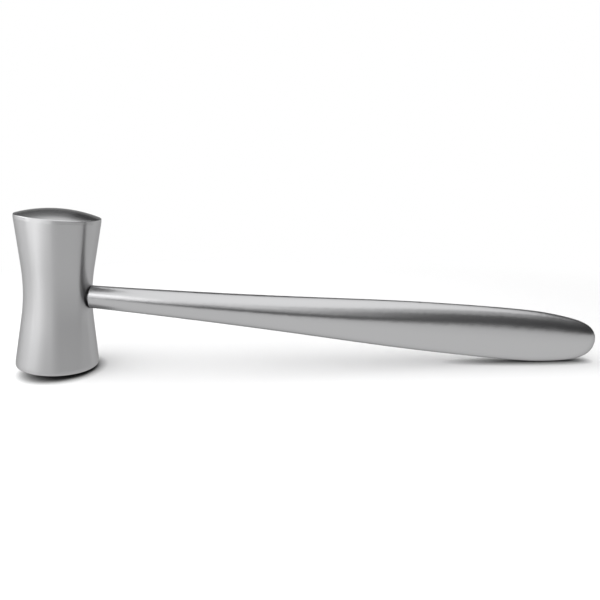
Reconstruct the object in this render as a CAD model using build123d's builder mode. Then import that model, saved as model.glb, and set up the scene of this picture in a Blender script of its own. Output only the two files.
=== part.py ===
"""Surgical mallet: a waisted, turned steel head on a solid handle that widens into a flat grip.

Lengths are in millimetres. The mallet stands the way it rests on a table: on the head's lower
striking face and on the belly of the grip, so the head leans a little towards the handle.
The table is z = 0, +X runs from the head towards the tip of the grip, and the origin lies on
the table under the middle of the whole mallet.
"""
import os
from math import asin, atan2, cos, hypot, radians, sin, sqrt, tan

from build123d import *

# Head, turned from bar
face_diameter = 24.5  # across the rim of each striking face
rim_height = 47.2  # from rim to rim, without the domes
dome_height = 2.15  # crown of each striking face above its rim
waist_diameter = 19.85
waist_arc = 66.0  # radius of the hollow between the two flares
land_height = 1.1  # straight band under each rim
land_blend = 9.0  # radius that softens the corner between band and flare
rim_break = 0.35  # rounding of the rim's edge

# Handle, round at the neck and flattened towards the grip
neck_diameter = 7.25
neck_length = 2.0  # straight, from the shoulder that meets the head
neck_flare = 1.52  # degrees, slope of the outline where it leaves the neck
flank_length = 139.0  # from the neck to the widest point of the grip
belly_length = 13.9  # from the widest point to the start of the nose
nose_length = 12.75  # from there to the tip
grip_width = 17.7  # widest, in the plane of the head
grip_thickness = 7.3  # at the same place, across that plane
belly_arc = 99.4  # radius of the outline just past the widest point
flank_start_pull = 77.0  # how far the flank's curve follows the neck, then the belly
flank_end_pull = 52.0
nose_start_pull = 5.8  # how far the nose's curve follows the belly, then the blunt tip
nose_end_pull = 6.1
round_length = 18.0  # the section stays round this far past the neck
handle_drop = 0.8  # the handle's axis lies this far below the middle of the head

# Joint between the two
tang_diameter = 5.0
tang_length = 11.0
tang_chamfer = 0.5
shoulder_break = 0.2  # rounding of the flat shoulder's edge
drill_point_angle = 118.0  # degrees, the bottom of the tang's bore
shoulder_clearance = 0.01  # between the shoulder and the hollow of the waist
tang_clearance = 0.02
tang_end_clearance = 0.5

# The flat shoulder meets the hollow of the waist at its lowest point, which lies furthest out,
# so a dark crescent stays open on either side of the neck
waist_radius = waist_diameter / 2
neck_radius = neck_diameter / 2
shoulder_reach = neck_radius + handle_drop  # from the middle of the head down to that point
hollow = waist_arc - sqrt(waist_arc**2 - shoulder_reach**2)
seat_distance = waist_radius + hollow + shoulder_clearance
neck_start = seat_distance + neck_length

# One table touches the dome of the lower face and the belly of the grip. Seen from the side
# both are arcs, so the lean of the head follows from their centres and radii.
face_radius = face_diameter / 2
dome_radius = (face_radius**2 + dome_height**2) / (2 * dome_height)
dome_centre = dome_radius - rim_height / 2 - dome_height  # above the middle of the head
belly_centre = belly_arc - grip_width / 2 - handle_drop
widest_at = neck_start + flank_length
rise = belly_centre - dome_centre
lean = atan2(rise, widest_at) - asin((belly_arc - dome_radius) / hypot(widest_at, rise))

nose_at = widest_at + belly_length
tip_at = nose_at + nose_length
head_up = Vector(sin(lean), 0, cos(lean))
along = Vector(cos(lean), 0, -sin(lean))
left_end = -face_radius * cos(lean) - rim_height / 2 * sin(lean)
right_end = tip_at * cos(lean) - handle_drop * sin(lean)
head_middle = Vector(-(left_end + right_end) / 2, 0, dome_radius - dome_centre * cos(lean))
neck_middle = head_middle - head_up * handle_drop

# Profiles are drawn with x along the handle and y along the head's axis
head_plane = Plane(head_middle, x_dir=along, z_dir=(0, -1, 0))
handle_plane = Plane(neck_middle, x_dir=along, z_dir=(0, -1, 0))
head_axis = Axis(head_middle, head_up)
handle_axis = Axis(neck_middle, along)

tang_radius = tang_diameter / 2
bore_radius = tang_radius + tang_clearance
bore_end = seat_distance - tang_length - tang_end_clearance
drill_point = bore_radius / tan(radians(drill_point_angle / 2))

# Where the flare, a straight line from the band, runs into the waist's arc
land_edge = rim_height / 2 - land_height
to_centre = atan2(waist_radius + waist_arc - face_radius, land_edge)
flare = asin(waist_arc / hypot(waist_radius + waist_arc - face_radius, land_edge)) - to_centre
waist_end = waist_arc * sin(flare)
waist_end_radius = waist_radius + waist_arc * (1 - cos(flare))

# The handle's outline in the plane of the head: a long flank, a gentle belly and a blunt nose
belly_slope = asin(belly_length / belly_arc)
nose_radius = grip_width / 2 - belly_arc * (1 - cos(belly_slope))
with BuildLine() as grip_outline:
    flank = Bezier(
        (neck_start, neck_radius),
        (neck_start + flank_start_pull, neck_radius + flank_start_pull * tan(radians(neck_flare))),
        (widest_at - flank_end_pull, grip_width / 2),
        (widest_at, grip_width / 2),
    )
    belly = RadiusArc((widest_at, grip_width / 2), (nose_at, nose_radius), belly_arc)
    nose = Bezier(
        (nose_at, nose_radius),
        (nose_at + nose_start_pull * cos(belly_slope), nose_radius - nose_start_pull * sin(belly_slope)),
        (tip_at, nose_end_pull),
        (tip_at, 0),
    )


def flatness(distance):
    """Thickness of the handle over its width, this far from the head's axis."""
    share = (distance - neck_start - round_length) / (flank_length - round_length)
    share = min(max(share, 0), 1)
    return 1 - (1 - grip_thickness / grip_width) * share**2 * (3 - 2 * share)


os.makedirs("parts", exist_ok=True)

# Head: half a profile, mirrored to the lower face and turned about the head's axis
with BuildPart() as head:
    with BuildSketch(head_plane) as head_profile:
        with BuildLine() as head_outline:
            RadiusArc((0, rim_height / 2 + dome_height), (face_radius, rim_height / 2), dome_radius)
            Line((face_radius, rim_height / 2), (face_radius, land_edge))
            Line((face_radius, land_edge), (waist_end_radius, waist_end))
            RadiusArc((waist_end_radius, waist_end), (waist_radius, 0), -waist_arc)
            Polyline((waist_radius, 0), (0, 0), (0, rim_height / 2 + dome_height))
        make_face()
        land_corner, rim_corner = head_profile.vertices().group_by(Axis.X)[-1].sort_by(Axis.Y)
        fillet(rim_corner, rim_break)
        fillet(land_corner, land_blend)
        mirror(about=Plane.XZ)
    revolve(axis=head_axis)

    # Blind bore in the waist for the tang
    with BuildSketch(handle_plane) as socket_profile:
        with BuildLine():
            Polyline(
                (bore_end - drill_point, 0),
                (bore_end, bore_radius),
                (face_radius, bore_radius),
                (face_radius, 0),
                close=True,
            )
        make_face()
    revolve(axis=handle_axis, mode=Mode.SUBTRACT)

# Handle: the tang and the neck are turned, and the rest runs through rings set across the axis
stations = [flank @ (i / 7) for i in range(7)] + [belly @ 0, belly @ 0.5]
stations += [nose @ share for share in (0, 0.25, 0.5, 0.7, 0.85, 0.95)]
rings = []
for point in stations:
    ring_plane = Plane(neck_middle + along * point.X, x_dir=head_up, z_dir=along)
    with BuildSketch(ring_plane) as ring:
        Ellipse(point.Y, point.Y * flatness(point.X))
    rings.append(ring.sketch)

with BuildPart() as handle:
    with BuildSketch(handle_plane) as neck_profile:
        with BuildLine():
            Polyline(
                (seat_distance - tang_length, 0),
                (seat_distance - tang_length, tang_radius),
                (seat_distance, tang_radius),
                (seat_distance, neck_radius),
                (neck_start, neck_radius),
                (neck_start, 0),
                close=True,
            )
        make_face()
        tang_corner = neck_profile.vertices().group_by(Axis.X)[0].sort_by(Axis.Y)[-1]
        shoulder_corner = neck_profile.vertices().group_by(Axis.X)[1].sort_by(Axis.Y)[-1]
        chamfer(tang_corner, tang_chamfer)
        fillet(shoulder_corner, shoulder_break)
    revolve(axis=handle_axis)
    loft(sections=[*rings, Vertex(*(neck_middle + along * tip_at))])

head.part.label = "head"
handle.part.label = "handle"
export_step(head.part, "parts/head.step")
export_step(handle.part, "parts/handle.step")

for piece in (head, handle):
    box = piece.part.bounding_box()
    print(f"{piece.part.label}: {piece.part.volume:.0f} mm3, {box.size.X:.2f} x {box.size.Y:.2f} x {box.size.Z:.2f} mm")
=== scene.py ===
"""Surgical mallet on a white table: steel, paper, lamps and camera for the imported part.

Lengths are in metres. Angles are in radians, apart from a lamp's roll, which is in degrees.
"""
from math import cos, pi, radians, sin

import bpy
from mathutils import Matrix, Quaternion, Vector

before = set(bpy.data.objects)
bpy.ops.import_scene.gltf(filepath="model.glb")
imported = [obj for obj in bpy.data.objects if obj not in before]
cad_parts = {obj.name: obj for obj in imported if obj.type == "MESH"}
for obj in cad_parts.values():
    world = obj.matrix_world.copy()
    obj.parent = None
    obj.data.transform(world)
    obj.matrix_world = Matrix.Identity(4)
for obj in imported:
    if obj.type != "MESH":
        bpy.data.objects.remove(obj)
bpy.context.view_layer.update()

scene = bpy.context.scene
scene.view_settings.view_transform = "Standard"

# Where the mallet rests, the head leans towards the handle by this angle
LEAN = 0.1039
HEAD_UP = (sin(LEAN), 0.0, cos(LEAN))
ALONG = (cos(LEAN), 0.0, -sin(LEAN))
HEAD_MIDDLE = (-0.08104, 0.0, 0.02581)

# Along the head's axis, from its middle: the finish changes between these two
FLANK_END = 0.0234
FACE_START = 0.0236

STEEL_BLUE = 1.01  # blue over red and green in the steel's colour

# White paper under and behind the mallet
PAPER_WHITE = 0.97
# Painted contact shade: the paper's colour darkens close to where the mallet touches it
PAINTED_SHADE_REACH = 0.0035  # how far from a touching surface the painted contact shade reaches
PAINTED_SHADE_DEPTH = 1.15
SHADOW_NEAR = 0.10  # the shadow is full within this distance of the origin
SHADOW_FAR = 0.22  # and gone past this one
SHADOW_SHAPE = (0.7, 1.0, 1.0)  # both distances reach further along the handle
TABLE_SIDE = 3
TABLE_FRONT = -2.5
TABLE_BACK = 2.0
BACKDROP_HEIGHT = 0.72

ROOM_COLOUR = (0.06, 0.06, 0.062, 1)


def wire(tree, sockets, values):
    """Link each value that is a node's output, and set the others on their sockets."""
    for socket, value in zip(sockets, values):
        if isinstance(value, bpy.types.NodeSocket):
            tree.links.new(value, socket)
        else:
            socket.default_value = value


def math_node(tree, operation, *values, clamp=False):
    node = tree.nodes.new("ShaderNodeMath")
    node.operation = operation
    node.use_clamp = clamp
    wire(tree, node.inputs, values)
    return node.outputs["Value"]


def vector_node(tree, operation, *values, output="Vector"):
    node = tree.nodes.new("ShaderNodeVectorMath")
    node.operation = operation
    wire(tree, node.inputs, values)
    return node.outputs[output]


def ramp(tree, value, start, end):
    """0 below `start`, 1 above `end` and smooth in between."""
    node = tree.nodes.new("ShaderNodeMapRange")
    node.interpolation_type = "SMOOTHSTEP"
    node.inputs["From Min"].default_value = start
    node.inputs["From Max"].default_value = end
    tree.links.new(value, node.inputs["Value"])
    return node.outputs["Result"]


def blend(tree, share, first, second, surface):
    """The surface shows `first` where `share` is 0 and `second` where it is 1."""
    node = tree.nodes.new("ShaderNodeMixShader")
    wire(tree, node.inputs, (share, first, second))
    tree.links.new(node.outputs[0], surface)


def satin(tree, axis, base, roughness, anisotropic, edge_tint_and_shade):
    """Steel with fine grooves round `edge_tint_and_shade`'s axis. At a glancing angle its reflection is
    tinted `edge_tint_and_shade`, set low as painted shade of the dark room behind.
    """
    bsdf = tree.nodes.new("ShaderNodeBsdfPrincipled")
    bsdf.inputs["Base Color"].default_value = (base, base, base * STEEL_BLUE, 1)
    bsdf.inputs["Metallic"].default_value = 1.0
    bsdf.inputs["Roughness"].default_value = roughness
    bsdf.inputs["Anisotropic"].default_value = anisotropic
    # Painted shade: a low edge tint darkens glancing reflections in place of the dark room behind
    bsdf.inputs["Specular Tint"].default_value = (edge_tint_and_shade, edge_tint_and_shade, edge_tint_and_shade, 1)
    tangent = tree.nodes.new("ShaderNodeCombineXYZ")
    wire(tree, tangent.inputs, axis)
    tree.links.new(tangent.outputs[0], bsdf.inputs["Tangent"])
    return bsdf.outputs[0]


def empty_material(name):
    """A material with nothing on its surface, its node tree and the surface's socket."""
    mat = bpy.data.materials.new(name)
    mat.use_nodes = True
    tree = mat.node_tree
    tree.nodes.remove(tree.nodes["Principled BSDF"])
    return mat, tree, tree.nodes["Material Output"].inputs["Surface"]


def head_finish():
    """Grooved satin on the flank, and a smoother finish on both striking faces, whose glancing reflections
    are darkened more as painted shade.
    """
    mat, tree, surface = empty_material("head_satin")
    place = tree.nodes.new("ShaderNodeNewGeometry").outputs["Position"]
    offset = vector_node(tree, "SUBTRACT", place, HEAD_MIDDLE)
    height = vector_node(tree, "DOT_PRODUCT", offset, HEAD_UP, output="Value")
    on_face = ramp(tree, math_node(tree, "ABSOLUTE", height), FLANK_END, FACE_START)
    # Both edge tints are painted shade; the faces' lower one darkens the domes' glancing reflections
    flank = satin(tree, HEAD_UP, base=0.43, roughness=0.34, anisotropic=0.93, edge_tint_and_shade=0.6)
    face = satin(tree, HEAD_UP, base=0.48, roughness=0.22, anisotropic=0.0, edge_tint_and_shade=0.25)
    blend(tree, on_face, flank, face, surface)
    return mat


def handle_finish():
    mat, tree, surface = empty_material("handle_satin")
    # The low edge tint is painted shade along the grip's glancing edges
    steel = satin(tree, ALONG, base=0.45, roughness=0.29, anisotropic=0.5, edge_tint_and_shade=0.3)
    tree.links.new(steel, surface)
    return mat


def paper():
    """White paper that takes the mallet's shadow nearby, with painted contact shade where the mallet
    nearly touches it, and is plain white elsewhere and in the steel.
    """
    mat, tree, surface = empty_material("white_paper")
    # Painted contact shade: ambient occlusion darkens the paper's colour next to the mallet
    occlusion = tree.nodes.new("ShaderNodeAmbientOcclusion")
    occlusion.inputs["Distance"].default_value = PAINTED_SHADE_REACH
    painted_contact_shade = math_node(tree, "POWER", occlusion.outputs["AO"], PAINTED_SHADE_DEPTH)
    diffuse = tree.nodes.new("ShaderNodeBsdfDiffuse")
    tree.links.new(math_node(tree, "MULTIPLY", painted_contact_shade, PAPER_WHITE), diffuse.inputs["Color"])
    glow = tree.nodes.new("ShaderNodeEmission")

    place = tree.nodes.new("ShaderNodeNewGeometry").outputs["Position"]
    shaped = vector_node(tree, "MULTIPLY", place, SHADOW_SHAPE)
    distance = vector_node(tree, "LENGTH", shaped, output="Value")
    away = ramp(tree, distance, SHADOW_NEAR, SHADOW_FAR)

    # A reflection counts only while its ray hasn't bounced off the paper before
    ray = tree.nodes.new("ShaderNodeLightPath").outputs
    mirrored = math_node(tree, "ADD", ray["Is Glossy Ray"], ray["Is Transmission Ray"], clamp=True)
    mirrored = math_node(tree, "SUBTRACT", mirrored, ray["Diffuse Depth"], clamp=True)
    seen = math_node(tree, "ADD", ray["Is Camera Ray"], mirrored, clamp=True)
    share = math_node(tree, "MAXIMUM", math_node(tree, "MULTIPLY", away, seen), mirrored)
    blend(tree, share, diffuse.outputs[0], glow.outputs[0], surface)
    return mat


def sheet(name, corners, mat):
    """A flat piece of the studio, which isn't part of the mallet."""
    mesh = bpy.data.meshes.new(name)
    mesh.from_pydata(corners, [], [tuple(range(len(corners)))])
    mesh.materials.append(mat)
    made = bpy.data.objects.new(name, mesh)
    scene.collection.objects.link(made)


def soft_box(name, centre, facing, width, height, level, roll):
    """A rectangular lamp that shows in the steel as a patch of brightness `level`."""
    data = bpy.data.lights.new(name, "AREA")
    data.shape = "RECTANGLE"
    data.size, data.size_y = width, height
    data.energy = level * pi * width * height
    made = bpy.data.objects.new(name, data)
    made.location = centre
    turn = (Vector(facing) - Vector(centre)).to_track_quat("-Z", "Y")
    made.rotation_euler = (turn @ Quaternion((0, 0, 1), radians(roll))).to_euler()
    made.visible_camera = False
    scene.collection.objects.link(made)


for piece, finish in (("head", head_finish()), ("handle", handle_finish())):
    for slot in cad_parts[piece].material_slots:
        slot.material = finish

white = paper()
back_left = (-TABLE_SIDE, TABLE_BACK, 0)
back_right = (TABLE_SIDE, TABLE_BACK, 0)
front_edge = [(-TABLE_SIDE, TABLE_FRONT, 0), (TABLE_SIDE, TABLE_FRONT, 0)]
top_edge = [(TABLE_SIDE, TABLE_BACK, BACKDROP_HEIGHT), (-TABLE_SIDE, TABLE_BACK, BACKDROP_HEIGHT)]
sheet("table", [*front_edge, back_right, back_left], white)
sheet("backdrop", [back_left, back_right, *top_edge], white)

# Name, centre, the point it faces, width, height, level and roll. Where two lamps lie behind
# each other their levels add up, so the light overhead fades towards the front in two steps.
# The card stands close to the head and gives the bright stripe down its flank.
LAMPS = (
    ("overhead", (-0.338, -0.104, 0.59), (-0.338, -0.104, 0), 1.74, 1.133, 0.75, 26),
    ("overhead_wide", (-0.353, -0.294, 0.62), (-0.353, -0.294, 0), 1.78, 1.68, 0.70, 17),
    ("left", (-1.081, 0.026, 0.49), (-0.081, 0.0, 0.49), 1.32, 0.86, 2.0, 0),
    ("card", (-0.1218, -0.0755, 0.055), (-0.081, 0.0, 0.045), 0.116, 0.068, 1.5, 30),
    ("front_left", (-0.02, -1.0, 0.592), (0.0, 0.0, 0.592), 0.407, 0.67, 0.62, 10),
    ("front", (0.22, -0.954, 0.42), (-0.081, 0.0, 0.42), 0.26, 0.35, 0.35, 10),
    ("back_left", (-1.08, 1.73, 1.2), (-0.081, 0.0, 0.05), 1.3, 1.0, 0.35, 0),
)
for lamp in LAMPS:
    soft_box(*lamp)

world = bpy.data.worlds.new("room")
world.use_nodes = True
world.node_tree.nodes["Background"].inputs["Color"].default_value = ROOM_COLOUR
scene.world = world

# Camera found from the outline of the head and the handle in the photograph
camera_data = bpy.data.cameras.new("camera")
camera_data.lens = 31.208
camera_data.sensor_width = 36.0
camera_data.clip_start = 0.01
camera = bpy.data.objects.new("camera", camera_data)
camera.location = (-0.014128, -0.163366, 0.062603)
camera.rotation_euler = (radians(76.1295), radians(-0.2223), radians(-3.1552))
scene.collection.objects.link(camera)
scene.camera = camera
